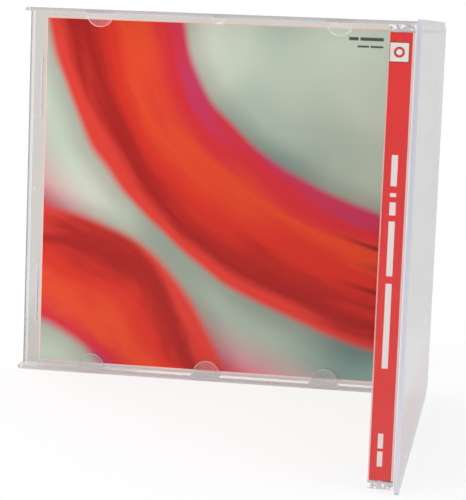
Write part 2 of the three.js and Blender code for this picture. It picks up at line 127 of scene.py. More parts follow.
PAGES_HEIGHT = booklet_high.z - booklet_low.z


def srgb(red, green, blue):
    """A colour as it looks on screen, 0 to 255, as the linear colour that a shader takes."""
    return tuple(_linear(channel / 255) for channel in (red, green, blue)) + (1.0,)


def _linear(channel):
    return channel / 12.92 if channel <= 0.04045 else ((channel + 0.055) / 1.055) ** 2.4


BLACK = srgb(0, 0, 0)
WHITE = srgb(255, 255, 255)


class Value:
    """A number inside a node tree. Python's operators on it add Math nodes."""

    def __init__(self, tree, socket):
        self.tree = tree
        self.socket = socket

    def math(self, operation, *others):
        return self.tree.math(operation, self, *others)

    def __add__(self, other):
        return self.math("ADD", other)

    __radd__ = __add__

    def __sub__(self, other):
        return self.math("SUBTRACT", other)

    def __rsub__(self, other):
        return self.tree.math("SUBTRACT", other, self)

    def __mul__(self, other):
        return self.math("MULTIPLY", other)

    __rmul__ = __mul__

    def __truediv__(self, other):
        return self.math("DIVIDE", other)

    def __rtruediv__(self, other):
        return self.tree.math("DIVIDE", other, self)

    def __abs__(self):
        return self.math("ABSOLUTE")

    def above(self, limit):
        return self.math("GREATER_THAN", limit)

    def below(self, limit):
        return self.math("LESS_THAN", limit)

    def least(self, other):
        return self.math("MINIMUM", other)

    def most(self, other):
        return self.math("MAXIMUM", other)

    def smooth(self, start, end):
        """0 at start and 1 at end, with a soft step between; start may be the larger."""
        settings = {"interpolation_type": "SMOOTHSTEP"}
        low, high, first, last = (start, end, 0.0, 1.0) if start < end else (end, start, 1.0, 0.0)
        values = {0: self, 1: low, 2: high, 3: first, 4: last}
        return self.tree.value(self.tree.node("ShaderNodeMapRange", settings, values).outputs[0])

    def band(self, middle, outer, inner):
        """1 up to inner away from the middle, and 0 from outer on."""
        return abs(self - middle).smooth(outer, inner)


def strongest(first, *others):
    """The largest of several masks."""
    for mask in others:
        first = first.most(mask)
    return first


def weakest(first, *others):
    """The smallest of several masks."""
    for mask in others:
        first = first.least(mask)
    return first


def distance(dx, dy):
    return (dx * dx + dy * dy).math("SQRT")


class Tree:
    """A node tree with one way of adding nodes."""

    def __init__(self, tree):
        self.tree = tree

    def node(self, kind, settings=None, values=None):
        """Adds a node: its settings first, a ramp's stops among them, then its sockets."""
        made = self.tree.nodes.new(kind)
        for name, setting in (settings or {}).items():
            if name == "stops":
                _set_stops(made.color_ramp, setting)
            else:
                setattr(made, name, setting)
        for key, value in (values or {}).items():
            socket = made.inputs[key]
            if isinstance(value, Value):
                value = value.socket
            if isinstance(value, bpy.types.NodeSocket):
                self.tree.links.new(value, socket)
            else:
                socket.default_value = value
        return made

    def value(self, socket):
        return Value(self, socket)

    def math(self, operation, *values):
        node = self.node("ShaderNodeMath", {"operation": operation}, dict(enumerate(values)))
        return self.value(node.outputs[0])

    def joined(self, x, y, z=0.0):
        return self.node("ShaderNodeCombineXYZ", None, {0: x, 1: y, 2: z}).outputs[0]

    def split(self, vector):
        parts = self.node("ShaderNodeSeparateXYZ", None, {0: vector})
        return [self.value(parts.outputs[i]) for i in range(3)]

    def rays(self):
        """Three values, each 1 for its kind of ray: seen straight, mirrored, or through plastic."""
        path = self.node("ShaderNodeLightPath")
        kinds = ("Camera", "Glossy", "Transmission")
        return [self.value(path.outputs[f"Is {kind} Ray"]) for kind in kinds]


def _set_stops(ramp, stops):
    ramp.interpolation = "EASE"
    while len(ramp.elements) < len(stops):
        ramp.elements.new(1.0)
    for element, (place, colour) in zip(ramp.elements, stops):
        element.position = place
        element.color = colour


class Finish(Tree):
    """A material whose nodes read the piece's own place."""

    def __init__(self, name):
        self.material = bpy.data.materials.new(name)
        self.material.use_nodes = True
        self.material.node_tree.nodes.clear()
        super().__init__(self.material.node_tree)
        self.place = self.node("ShaderNodeTexCoord").outputs["Object"]

    def axes(self):
        """x, y and z of the part's frame, in millimetres."""
        return [axis * (1 / MM) for axis in self.split(self.place)]

    def noise(self, scale, detail=2.0, place=None):
        """Noise from 0 to 1; scale counts features in a millimetre, or in the unit of place."""
        if place is None:
            place = self.place
            scale = scale / MM
        values = {"Vector": place, "Scale": scale, "Detail": detail}
        return self.value(self.node("ShaderNodeTexNoise", None, values).outputs[0])

    def mixed(self, share, first, second, blend="MIX"):
        """Two colours mixed: the first where share is 0, the second where it is 1."""
        settings = {"data_type": "RGBA", "blend_type": blend}
        return self.node("ShaderNodeMix", settings, {0: share, 6: first, 7: second}).outputs[2]

    def painted(self, ground, *coats):
        """Colours laid over a ground in turn, each where its mask is 1."""
        for mask, colour in coats:
            ground = self.mixed(mask, ground, colour)
        return ground

    def ramp(self, value, stops):
        return self.node("ShaderNodeValToRGB", {"stops": stops}, {0: value}).outputs[0]

    def bump(self, height, depth, strength=1.0):
        """Height from 0 to 1 over a depth in millimetres."""
        values = {"Strength": strength, "Distance": depth * MM, "Height": height}
        return self.node("ShaderNodeBump", None, values).outputs[0]

    def principled(self, **values):
        names = {name.replace("_", " "): value for name, value in values.items()}
        return self.node("ShaderNodeBsdfPrincipled", None, names).outputs[0]

    def transparent(self, colour=WHITE):
        return self.node("ShaderNodeBsdfTransparent", None, {0: colour}).outputs[0]

    def blended(self, share, first, second):
        return self.node("ShaderNodeMixShader", None, {0: share, 1: first, 2: second}).outputs[0]

    def surface(self, shader):
        self.node("ShaderNodeOutputMaterial", None, {0: shader})
        return self.material


def base_axes(finish):
    """The closed case's own axes on the base: across from the hinge side, up, out from the back."""
    x, y, z = finish.axes()
    return HALF - y, z, HALF - x


def lid_axes(finish):
    """The same axes on a piece of the lid, which stands open at a right angle."""
    x, y, z = finish.axes()
    return HALF - x, z, y - FRONT_OFFSET


def from_end(up):
    """How far a place is from the nearer of the case's lower and upper ends."""
    return CASE_HEIGHT / 2 - abs(up - CASE_HEIGHT / 2)


# Clear mouldings

# What is seen through the plastic is tinted, and its shadow is nearly clear
WALL_TINT = srgb(243, 243, 243)
MARGIN_TINT = srgb(213, 209, 204)
TAB_TINT = WHITE
FILM_TINT = srgb(250, 250, 250)
PLASTIC_IOR = 1.46
HAIR_TURN = (0.3, 0.5, 0.7)
HAIR_SCALE = (1800, 90, 260)

# Painted light: pale colours for narrow faces that gather light, white for painted highlights, and
# a faint glow for painted reflections
LID_PALE = srgb(214, 214, 220)
FOOT_PALE = srgb(206, 203, 205)
BASE_PALE = srgb(222, 222, 235)
WALL_PALE = srgb(208, 204, 207)
TRAY_PALE = srgb(216, 216, 222)
CARD_LIGHT = srgb(244, 190, 180)
LID_HIGHLIGHT = srgb(252, 251, 251)
BASE_HIGHLIGHT = srgb(252, 250, 250)
PAINTED_SHINE_STRENGTH = 0.2


def plastic_shader(finish, margin, painted_glow_mask, painted_glow_colour, painted_shine=None, tint=WALL_TINT):
    """Clear polystyrene with hairline marks.

    It is greyer where margin is 1. Where the glow mask is 1 it is an opaque pale face instead,
    painted light that stands for the light a narrow face gathers; where the shine mask is 1, that
    face also glows a little, a painted bright reflection.
    """
    swell = finish.noise(0.05, detail=1.0)
    stretched = finish.node("ShaderNodeMapping", None, {
        "Vector": finish.place, "Rotation": HAIR_TURN, "Scale": HAIR_SCALE,
    }).outputs[0]
    hairs = finish.noise(1.0, detail=3.0, place=stretched).smooth(0.68, 0.76)
    glass = finish.principled(
        Base_Color=finish.mixed(margin, tint, MARGIN_TINT),
        Roughness=hairs * 0.05 + 0.012,
        IOR=PLASTIC_IOR,
        Transmission_Weight=1.0,
        Normal=finish.bump(swell, 0.02, 0.2),
    )
    # The painted light: a pale opaque face in place of the glass, glowing where a reflection is
    # painted
    pale = {"Base_Color": painted_glow_colour, "Roughness": hairs * 0.1 + 0.28}
    if painted_shine is not None:
        pale["Emission_Color"] = finish.mixed(painted_shine, BLACK, WHITE)
        pale["Emission_Strength"] = PAINTED_SHINE_STRENGTH
    whole = finish.blended(painted_glow_mask, glass, finish.principled(**pale))
    shadow = finish.node("ShaderNodeLightPath").outputs["Is Shadow Ray"]
    return finish.blended(shadow, whole, finish.transparent(FILM_TINT))


def beside_sheet(across, up, low, high, span):
    """1 outside a sheet of paper or card that lies behind the plate."""
    inside = weakest(across - span[0], span[1] - across, up - low, high - up)
    return inside.smooth(0.2, -0.2)


def tab_marks(across, up, out, height):
    """Three masks on the lid: its tabs' round rims, which take a painted highlight, the flange
    beside the tabs, and the tabs.
    """
    rims, gaps = [], []
    for i in (-1, 0, 1):
        shrink = (TAB_RADIUS - SMALL_TAB_RADIUS) * (1 - abs(i))
        radius = TAB_RADIUS - up.above(CASE_HEIGHT / 2) * shrink
        off = across - (DISC_ACROSS + TAB_PITCH * i)
        rims.append((distance(off, height - FLANGE) - radius).band(-0.1, 0.22, 0.06))
        gaps.append((abs(off) - radius).smooth(0.1, 0.5))
    inner = height.above(FLANGE + 0.1) * out.below(TAB_TOP + 0.1)
    beside = weakest(*gaps)
    return strongest(*rims) * inner, beside, (1 - beside) * inner


def cover_plastic():
    """The lid: margins round the booklet, and painted light: pale faces and highlight lines on its
    lip, flanges, tabs and ends.
    """
    finish = Finish("cover_plastic")
    across, up, out = lid_axes(finish)
    height = from_end(up)
    plate = out.smooth(LID_INSIDE - 0.2, LID_INSIDE)
    bare = beside_sheet(across, up, booklet_low.z, booklet_high.z, (PAGES_FOLD, PAGES_FREE))
    flange = height.smooth(FLANGE + 0.1, FLANGE - 0.1)
    # Painted light on the plate's ends, and a painted highlight line along the lip
    ends = plate * (CASE_WIDTH - across).least(height).smooth(END_FADE, END_FULL)
    lip_highlight = across.band(CASE_WIDTH - LIP_HIGHLIGHT_INSET, 0.34, 0.2)
    lip_highlight = lip_highlight * out.smooth(LID_INSIDE - 0.2, LID_INSIDE - 0.28)
    rims, beside, tabs = tab_marks(across, up, out, height)
    # Painted light along the stop rib
    rib = across.band(PAGES_FREE + STOP_RIB, 0.7, 0.5) * out.below(LID_INSIDE - 0.02)
    # Painted light on the flange's inner face, a painted highlight bar that runs along the lower
    # one, and painted light on its free edge
    past_hinge = across.above(LID_START)
    shelf = height.band(FLANGE, 0.14, 0.04) * out.below(LID_INSIDE - 0.3) * past_hinge
    bar = shelf * beside * out.band(BAR_MIDDLE, 1.95, 1.65) * up.below(CASE_HEIGHT / 2)
    bar = bar * across.smooth(BAR_GONE, BAR_FULL)
    foot = out.smooth(FLANGE_BOTTOM + 0.12, FLANGE_BOTTOM + 0.04) * flange * past_hinge
    # Pale painted light, with white painted highlights on the lip, the bar and the tab rims
    colour = finish.painted(
        LID_PALE, (foot, FOOT_PALE), (strongest(lip_highlight, bar, rims), LID_HIGHLIGHT),
    )
    # How strongly each painted light covers the clear plastic
    painted_glow = strongest(
        ends * 0.8, lip_highlight * 0.4, shelf * 0.6, bar, foot * 0.7, rib * 0.4, rims * 0.36,
        tabs * 0.06,
    )
    margin = (plate * bare).most(flange)
    tint = finish.mixed(tabs, WALL_TINT, TAB_TINT)
    # The highlight bar and the tab rims also glow a little, as painted reflections
    painted_shine = bar.most(rims * 0.4)
    return finish.surface(plastic_shader(finish, margin, painted_glow, colour, painted_shine, tint))


def shell_plastic():
    """The base: margins round the card, and painted light: pale plate ends and walls, glints and
    highlight lines at the ends of its spine.
    """
    finish = Finish("shell_plastic")
    across, up, out = base_axes(finish)
    height = from_end(up)
    aside = across.least(CASE_WIDTH - across)
    plate = out.smooth(PLATE + 0.2, PLATE)
    span = (HALF - card_high.y, HALF - card_low.y)
    bare = beside_sheet(across, up, card_low.z, card_high.z, span)
    # Painted light on the plate's ends and on the walls
    ends = plate * aside.least(height).smooth(END_FADE, END_FULL)
    wall = height.smooth(SIDE_INSIDE + 0.9, SIDE_INSIDE + 0.6) * (1 - plate)
    spine = aside.smooth(SPINE_DEPTH + 1, SPINE_DEPTH)
    # Painted glints: sparkles of light in a band at the spine's ends
    glints = finish.noise(1.5, detail=1.0).smooth(0.46, 0.62)
    glints = glints * height.band(GLINT_HEIGHT, 0.85, 0.6) * spine * (1 - plate)
    # A painted highlight line where the wall meets the plate, and painted pink light from the red
    # card along the spine wall's top edge
    plate_wall_highlight = out.band(PLATE_WALL_HIGHLIGHT_OUT, 0.22, 0.12) * aside.smooth(0.5, 0.3)
    spine_edge = out.smooth(SPINE_HEIGHT - 0.4, SPINE_HEIGHT - 0.2) * spine
    colour = finish.painted(
        BASE_PALE, (wall, WALL_PALE), (spine_edge, CARD_LIGHT), (glints.most(plate_wall_highlight), BASE_HIGHLIGHT),
    )
    # How strongly the painted light covers the clear plastic; the glints also glow a little as
    # painted reflections
    wall_painted_glow = wall * (spine * 0.35 + glints * 0.3 + 0.2)
    painted_glow = strongest(ends * 0.85, wall_painted_glow, plate_wall_highlight * 0.7, spine_edge * 0.5)
    margin = (plate * bare).most(wall * 0.5)
    return finish.surface(plastic_shader(finish, margin, painted_glow, colour, glints * 0.3))


def tray_plastic():
    """The tray: clear all over, with a pale rim of painted light."""
    finish = Finish("tray_plastic")
    _, _, out = base_axes(finish)
    flow = finish.noise(0.02, detail=1.0)
    # Painted light on the rim
    rim = out.smooth(TRAY_TOP - 0.1, TRAY_TOP) * 0.6
    return finish.surface(plastic_shader(finish, flow * 0.3, rim, TRAY_PALE))


# Printed paper and card

GROUND_STOPS = [
    (0.22, srgb(122, 160, 154)),
    (0.38, srgb(178, 202, 184)),
    (0.55, srgb(204, 220, 202)),
    (0.8, srgb(226, 232, 216)),
]
RIBBON_STOPS = [
    (0.0, srgb(206, 58, 100)),
    (0.14, srgb(222, 48, 58)),
    (0.36, srgb(238, 78, 40)),
    (0.55, srgb(226, 52, 36)),
    (0.78, srgb(178, 32, 28)),
    (1.0, srgb(232, 66, 54)),
]
BLUR_STOPS = [
    (0.0, srgb(232, 120, 150)),
    (0.5, srgb(224, 64, 84)),
    (1.0, srgb(236, 140, 140)),
]
PAGE_STOPS = [(0.3, srgb(228, 226, 220)), (0.7, srgb(246, 244, 239))]
RED_STOPS = [(0.3, srgb(238, 18, 16)), (0.7, srgb(244, 28, 22))]
BACK_STOPS = [(0.3, srgb(222, 226, 218)), (0.7, srgb(234, 232, 226))]
BRUSH_DARK = srgb(62, 16, 24)
SHADE_TINT = srgb(120, 60, 60)

# Each ribbon is its bow's centre and radius, its half width, its edge's softness, and its colours;
# lengths count the booklet's width as 1, from its lower left corner as the reader sees it.
BACK_RIBBONS = [
    ((1.15, 1.25), 1.42, 0.09, 0.09, BLUR_STOPS),
    ((-0.10, -0.20), 0.50, 0.17, 0.02, RIBBON_STOPS),
    ((1.15, 1.25), 0.98, 0.19, 0.015, RIBBON_STOPS),
]
FRONT_RIBBONS = [
    ((1.25, 0.20), 1.02, 0.10, 0.09, BLUR_STOPS),
    ((0.10, 1.20), 0.86, 0.18, 0.015, RIBBON_STOPS),
    ((1.10, -0.30), 0.62, 0.14, 0.02, RIBBON_STOPS),
]

# Brush lines run beside the last ribbon's bow: each is its distance from it, its half width, and
# how much later it fades. They fade between two turns round the bow's centre.
BRUSH_LINES = [
    (-0.09, 0.005, 0.0),
    (-0.035, 0.009, 0.08),
    (0.03, 0.006, 0.04),
    (0.075, 0.004, 0.12),
]
BACK_TURNS = (-1.95, -1.70)
FRONT_TURNS = (-0.75, -1.05)

# Plain bars in the place of print: each row is its middle, half height, and its bars' ends
NOTE_BARS = [
    (116.4, 0.55, [(104.2, 107.4), (108.0, 115.8)]),
    (113.9, 0.32, [(107.2, 111.0), (111.5, 115.8)]),
]
TITLE_BARS = [
    (108.0, 1.9, [(8.0, 46.0)]),
    (102.4, 1.0, [(8.0, 24.0), (26.0, 60.0)]),
    (98.4, 0.7, [(8.0, 33.0)]),
]
SPINE_BARS = [
    (5.35, 0.8, [(33.7, 56.2), (58.2, 72.6), (74.2, 77.6), (79.0, 80.0), (81.8, 89.9)]),
    (5.5, 0.7, [(7.3, 11.4), (12.2, 16.2)]),
]
LIST_BARS = [
    (104.0 - 6.2 * i, 0.8, [(24.0, 30.0), (33.0, 33.0 + length)])
    for i, length in enumerate((52, 38, 61, 44, 33, 57, 40))
]
DISC_BARS = [
    (34.0, 1.6, [(-22.0, 22.0)]),
    (29.6, 0.8, [(-14.0, 4.0), (6.0, 14.0)]),
    (-33.0, 0.6, [(-17.0, -2.0), (0.0, 17.0)]),
    (-36.0, 0.6, [(-12.0, 12.0)]),
]
BAR_SOFT = 0.08

# The white square with a ring near the spine's upper end
SQUARE_UP, SQUARE_OUT = 116.4, 5.55
RING_RADIUS = 1.1


def ribbon(finish, ground, across, up, bow):
    """A broad curved ribbon of brushed colour over the ground, with the soft shade it casts."""
    centre, radius, width, softness, stops = bow
    dx = across - centre[0]
    dy = up - centre[1]
    away = distance(dx, dy)
    turn = dy.math("ARCTAN2", dx)
    off = away - radius
    brushed = finish.noise(1.0, detail=4.0, place=finish.joined(turn * 1.4, away * 8.0, radius))
    colour = finish.ramp(off * (0.5 / width) + 0.5 + (brushed - 0.5) * 0.8, stops)
    if stops is RIBBON_STOPS:
        shade = abs(off).smooth(width + 0.08, width) * 0.3
        ground = finish.mixed(shade, ground, SHADE_TINT, "MULTIPLY")
    body = abs(off).smooth(width + softness, width - softness)
    return finish.mixed(body, ground, colour), away, turn


def flowing_print(finish, across, up, ribbons, turns):
    """Soft ribbons of red, orange and pink over pale green, with a few dark brush lines."""
    drift = finish.noise(2.2, detail=2.0, place=finish.joined(across, up, 3.0))
    sway = finish.noise(1.3, detail=1.0, place=finish.joined(across, up, 9.0))
    across = across + (drift - 0.5) * 0.10
    up = up + (sway - 0.5) * 0.12
    field = finish.noise(1.9, detail=1.0, place=finish.joined(across, up, 5.0))
    colour = finish.ramp(field, GROUND_STOPS)
    for bow in ribbons:
        colour, away, turn = ribbon(finish, colour, across, up, bow)
    start, end = turns
    for off, width, tail in BRUSH_LINES:
        line = away.band(ribbons[-1][1] + off, width * 2.0, width * 0.3)
        line = line * turn.smooth(start + tail, end + tail)
        colour = finish.mixed(line * 0.85, colour, BRUSH_DARK)
    return colour


def bars(across, up, rows):
    """A mask that is 1 on rows of plain printed bars."""
    masks = []
    for middle, half, spans in rows:
        tall = up.band(middle, half + BAR_SOFT, half - BAR_SOFT)
        for start, end in spans:
            reach = (end - start) / 2
            long = across.band((start + end) / 2, reach + BAR_SOFT, reach - BAR_SOFT)
            masks.append(tall * long)
    return strongest(*masks)


def paper_shader(finish, colour, gloss):
    fibre = finish.noise(6.0, detail=4.0)
    return finish.principled(
        Base_Color=colour,
        Roughness=(fibre - 0.5) * 0.12 + gloss,
        Specular_IOR_Level=0.3,
        Normal=finish.bump(fibre, 0.012, 0.3),
    )


def booklet_paper():
    """Coated paper printed on both covers, with pale margins, white pages and cut edges."""
    finish = Finish("booklet_paper")
    across, up, out = lid_axes(finish)
    sideways = (PAGES_FREE - across) / PAGES_WIDTH
    upward = (up - booklet_low.z) / PAGES_HEIGHT
    back = flowing_print(finish, sideways, upward, BACK_RIBBONS, BACK_TURNS)
    note = bars(sideways * PAGES_WIDTH, upward * PAGES_HEIGHT, NOTE_BARS)
    back = finish.mixed(note, back, srgb(82, 94, 92))
    front = flowing_print(finish, 1 - sideways, upward, FRONT_RIBBONS, FRONT_TURNS)
    title = bars((1 - sideways) * PAGES_WIDTH, upward * PAGES_HEIGHT, TITLE_BARS)
    front = finish.mixed(title, front, srgb(250, 246, 240))
    colour = finish.mixed(out.above(PAGES_MIDDLE), back, front)
    edge = (0.5 - abs(sideways - 0.5)) * PAGES_WIDTH
    edge = edge.least((0.5 - abs(upward - 0.5)) * PAGES_HEIGHT)
    margin = edge.smooth(PAPER_MARGIN + 0.1, PAPER_MARGIN - 0.1)
    colour = finish.mixed(margin, colour, srgb(248, 214, 204))
    # Under the printed covers, down to the fold, the stack of white sheets shows in thin layers
    before_fold = (PAGES_FOLD + PAGES_HALF - across).most(0.0)
    depth = distance(before_fold, out - PAGES_MIDDLE)
    stack = finish.noise(9.0, detail=0.0, place=finish.joined(depth, 0.0, 0.0))
    pages = finish.ramp(stack, PAGE_STOPS)
    colour = finish.mixed(depth.above(PAGES_HALF - 0.03), pages, colour)
    return finish.surface(paper_shader(finish, colour, 0.32))


def inlay_print():
    """Printed card: red spines with plain bars, a pale back with bars, ribbons on the inside; by
    the fold a painted shadow line and a painted highlight line.
    """
    finish = Finish("inlay_print")
    across, up, out = base_axes(finish)
    left, right = HALF - card_high.y, HALF - card_low.y
    bottom = HALF - card_high.x
    red = finish.ramp(finish.noise(0.03, detail=1.0), RED_STOPS)

    from_square = abs(up - SQUARE_UP)
    from_middle = abs(out - SQUARE_OUT)
    frame_line = from_square.smooth(2.68, 2.58) * from_middle.smooth(2.68, 2.58)
    square = from_square.smooth(2.48, 2.36) * from_middle.smooth(2.48, 2.36)
    ring = distance(from_square, from_middle).band(RING_RADIUS, 0.38, 0.26)
    above_fold = out - bottom
    spine = finish.painted(
        red,
        (bars(up, out, SPINE_BARS), srgb(250, 242, 238)),
        (frame_line, srgb(90, 18, 22)),
        (square, srgb(250, 246, 240)),
        (ring, srgb(214, 44, 40)),
        # Going down to the fold: the pale crease, then a painted shadow line and a painted
        # highlight line where the card meets the plate
        (above_fold.smooth(LABEL_FOLD + 0.08, LABEL_FOLD - 0.08), srgb(255, 222, 216)),
        (above_fold.smooth(FOLD_SHADOW_LINE + 0.04, FOLD_SHADOW_LINE - 0.04), srgb(214, 198, 197)),
        (above_fold.smooth(FOLD_HIGHLIGHT_LINE + 0.04, FOLD_HIGHLIGHT_LINE - 0.04), srgb(255, 250, 250)),
    )

    back = finish.painted(
        finish.ramp(finish.noise(0.012, detail=2.0), BACK_STOPS),
        (bars(across, up, LIST_BARS), srgb(92, 100, 100)),
        (up.smooth(20.3, 19.7), red),
    )
    inward = (across - left) / (right - left)
    upward = (up - card_low.z) / (card_high.z - card_low.z)
    inside = flowing_print(finish, inward, upward, FRONT_RIBBONS, FRONT_TURNS)
    colour = finish.mixed(out.below(bottom + CARD_SHEET / 2), inside, back)
    folded = across.above(right - CARD_SHEET / 2).most(across.below(left + CARD_SHEET / 2))
    colour = finish.mixed(folded, colour, spine)
    return finish.surface(paper_shader(finish, colour, 0.42))


# Disc and staples

INK_STOPS = [(0.3, srgb(206, 36, 34)), (0.5, srgb(230, 62, 42)), (0.72, srgb(186, 30, 34))]
# The tracks' rainbow is a painted sheen, fixed in the metal's colour
PAINTED_RAINBOW_STOPS = [
    (0.0, srgb(206, 208, 214)),
    (0.35, srgb(190, 214, 216)),
    (0.5, srgb(200, 222, 196)),
    (0.62, srgb(228, 214, 184)),
    (0.74, srgb(222, 190, 206)),
    (1.0, srgb(206, 208, 214)),
]
STEEL_STOPS = [(0.3, srgb(150, 152, 154)), (0.7, srgb(186, 187, 189))]
PRINTED_RINGS = (25.5, 56.8)


def disc_finish():
    """One disc: clear at the hub, then bare mirror, then print above and tracks with a painted
    rainbow sheen below.
    """
    finish = Finish("disc_layers")
    across, up, out = base_axes(finish)
    dx = across - DISC_ACROSS
    dy = up - DISC_UP
    away = distance(dx, dy)
    turn = dy.math("ARCTAN2", dx)
    above = out.above(HALF - (disc_low.x + disc_high.x) / 2)
    inked = above * away.smooth(DISC_BAND, DISC_BAND + 0.1)
    inked = inked * away.smooth(DISC_PRINT_END, DISC_PRINT_END - 0.1)
    field = finish.noise(0.5, detail=3.0, place=finish.joined(turn * 1.2, away * 0.05))
    rings = [away.band(radius, 0.28, 0.16) for radius in PRINTED_RINGS]
    marks = strongest(bars(dx, dy, DISC_BARS), *rings)
    ink = finish.mixed(marks, finish.ramp(field, INK_STOPS), srgb(244, 236, 230))
    # Painted rainbow sheen in wedges round the hub
    fan = (turn * 2.0 + away * 0.01).math("SINE") * 0.5 + 0.5
    mirror = finish.mixed(above, finish.ramp(fan, PAINTED_RAINBOW_STOPS), srgb(206, 207, 210))
    tracks = (away * 40.0).math("SINE") * 0.5 + 0.5
    layer = finish.principled(
        Base_Color=finish.mixed(inked, mirror, ink),
        Metallic=1 - inked,
        Roughness=inked * 0.22 + 0.09,
        Coat_Weight=0.4,
        Coat_Roughness=0.03,
        Normal=finish.bump(tracks * (1 - above), 0.004, 0.3),
    )
    clear = finish.principled(
        Base_Color=srgb(236, 238, 238),
        Roughness=finish.noise(0.4) * 0.04 + 0.01,
        IOR=PLASTIC_IOR,
        Transmission_Weight=1.0,
    )
    layered = away.smooth(DISC_CLEAR - 0.05, DISC_CLEAR + 0.05)
    return finish.surface(finish.blended(layered, clear, layer))


def staple_steel():
    finish = Finish("staple_steel")
    grain = finish.noise(3.0, detail=3.0)
    return finish.surface(finish.principled(
        Base_Color=finish.ramp(grain, STEEL_STOPS),
        Metallic=1.0,
        Roughness=(grain - 0.5) * 0.15 + 0.32,
    ))


# Stage, camera and light

LAMP_AIM = Vector((0, 0, 0.06))
FLOOR_REACH = 0.6
FLOOR_DROP = 0.05 * MM
FADE_START, FADE_END = 0.16, 0.27
FLOOR_WHITE = 0.8
FLOOR_MIRRORED = 0.8


def add_camera():
    data = bpy.data.cameras.new("camera")
    data.sensor_fit = "VERTICAL"
    data.sensor_height = SENSOR_HEIGHT
    data.lens = FOCAL_PIXELS * SENSOR_HEIGHT / PHOTO_HEIGHT
    camera = linked("camera", data)
    camera.location = CAMERA_PLACE
    camera.rotation_mode = "QUATERNION"
    level = (CAMERA_AIM - CAMERA_PLACE).to_track_quat("-Z", "Y")
    camera.rotation_quaternion = level @ Quaternion((0, 0, 1), CAMERA_ROLL)
    bpy.context.scene.camera = camera


def add_softbox(name, place, size, power):
    data = bpy.data.lights.new(name, "AREA")
    data.shape = "RECTANGLE"
    data.size, data.size_y = size
    data.energy = power
    lamp = linked(name, data)
    lamp.location = place
    lamp.rotation_mode = "QUATERNION"
    lamp.rotation_quaternion = (LAMP_AIM - Vector(place)).to_track_quat("-Z", "Y")


def add_world():
    """White where it is looked at, soft light elsewhere, darker behind the camera in mirrors."""
    world = bpy.data.worlds.new("studio")
    bpy.context.scene.world = world
    world.use_nodes = True
    world.node_tree.nodes.clear()
    tree = Tree(world.node_tree)
    straight, mirrored, through = tree.rays()
    _, y, z = tree.split(tree.node("ShaderNodeTexCoord").outputs["Generated"])
    # Light for matt surfaces grows from 0.55 below to 0.9 overhead
    soft = z.smooth(-0.2, 0.9) * 0.35 + 0.55
    # Mirrors see 0.75 below and 1 above, less a dark room behind the camera
    behind = y.smooth(-0.6, -0.95) * (z.smooth(-0.28, 0.02) * 0.62 + 0.08)
    mirror = z.smooth(0.05, 0.5) * 0.25 + 0.75 - behind
    light = soft + (mirror - soft) * mirrored
    strength = light + (1 - light) * straight.most(through)
    white = tree.node("ShaderNodeBackground", None, {0: WHITE, 1: strength})
    tree.node("ShaderNodeOutputWorld", None, {0: white.outputs[0]})


def add_floor():
    """Pale floor that keeps the shadow near the case and passes into the white further out."""
    corners = [(-1, -1), (1, -1), (1, 1), (-1, 1)]
    points = [(x * FLOOR_REACH, y * FLOOR_REACH, -FLOOR_DROP) for x, y in corners]
    mesh = bpy.data.meshes.new("floor")
    mesh.from_pydata(points, [], [(0, 1, 2, 3)])
    floor = linked("floor", mesh)
    finish = Finish("floor_white")
    x, y, _ = finish.split(finish.place)
    straight, mirrored, through = finish.rays()
    matt = finish.node("ShaderNodeBsdfDiffuse", None, {0: (0.92, 0.92, 0.92, 1)}).outputs[0]
    white, greyer = (
        finish.node("ShaderNodeEmission", None, {0: WHITE, 1: strength}).outputs[0]
        for strength in (1.0, FLOOR_MIRRORED)
    )
    bright = finish.blended(mirrored, white, greyer)
    near = finish.blended(strongest(straight, mirrored, through) * FLOOR_WHITE, matt, bright)
    fade = distance(x, y).smooth(FADE_START, FADE_END)
    mesh.materials.append(finish.surface(finish.blended(fade, near, finish.transparent())))


# Pieces

def linked(name, data):
    """A new object in the scene, at the origin."""
    piece = bpy.data.objects.new(name, data)
    bpy.context.scene.collection.objects.link(piece)
    return piece


def finished(piece):
    """The piece with its modifiers applied to its mesh."""
    bpy.context.view_layer.update()
    graph = bpy.context.evaluated_depsgraph_get()
    piece.data = bpy.data.meshes.new_from_object(
        piece.evaluated_get(graph), preserve_all_data_layers=True, depsgraph=graph,
    )
    piece.modifiers.clear()
    return piece


def stands_for(piece, node, body):
    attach(piece, body)
    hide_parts(node)
    return piece


def smooth_to(mesh, degrees):
    """Smooth shading, with edges kept sharp where faces turn by more than the angle."""
    for polygon in mesh.polygons:
        polygon.use_smooth = True
    mesh.set_sharp_from_angle(angle=math.radians(degrees))


def moulded(node, name, body, material):
    """A CAD moulding with its sharp edges softened as a mould leaves them."""
    shape = bmesh.new()
    shape.from_mesh(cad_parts[node].data)
    bmesh.ops.remove_doubles(shape, verts=shape.verts, dist=WELD * MM)
    flat = math.radians(FLAT_ANGLE)
    bmesh.ops.dissolve_limit(shape, angle_limit=flat, verts=shape.verts, edges=shape.edges)
    mesh = bpy.data.meshes.new(name)
    shape.to_mesh(mesh)
    shape.free()
    mesh.materials.append(material)
    smooth_to(mesh, EDGE_ANGLE)
    piece = linked(name, mesh)
    bevel = piece.modifiers.new("mould_edge", "BEVEL")
    bevel.width = MOULD_EDGE * MM
    bevel.segments = 2
    bevel.limit_method = "ANGLE"
    bevel.angle_limit = math.radians(EDGE_ANGLE)
    bevel.harden_normals = True
    bevel.use_clamp_overlap = True
    return stands_for(finished(piece), node, body)


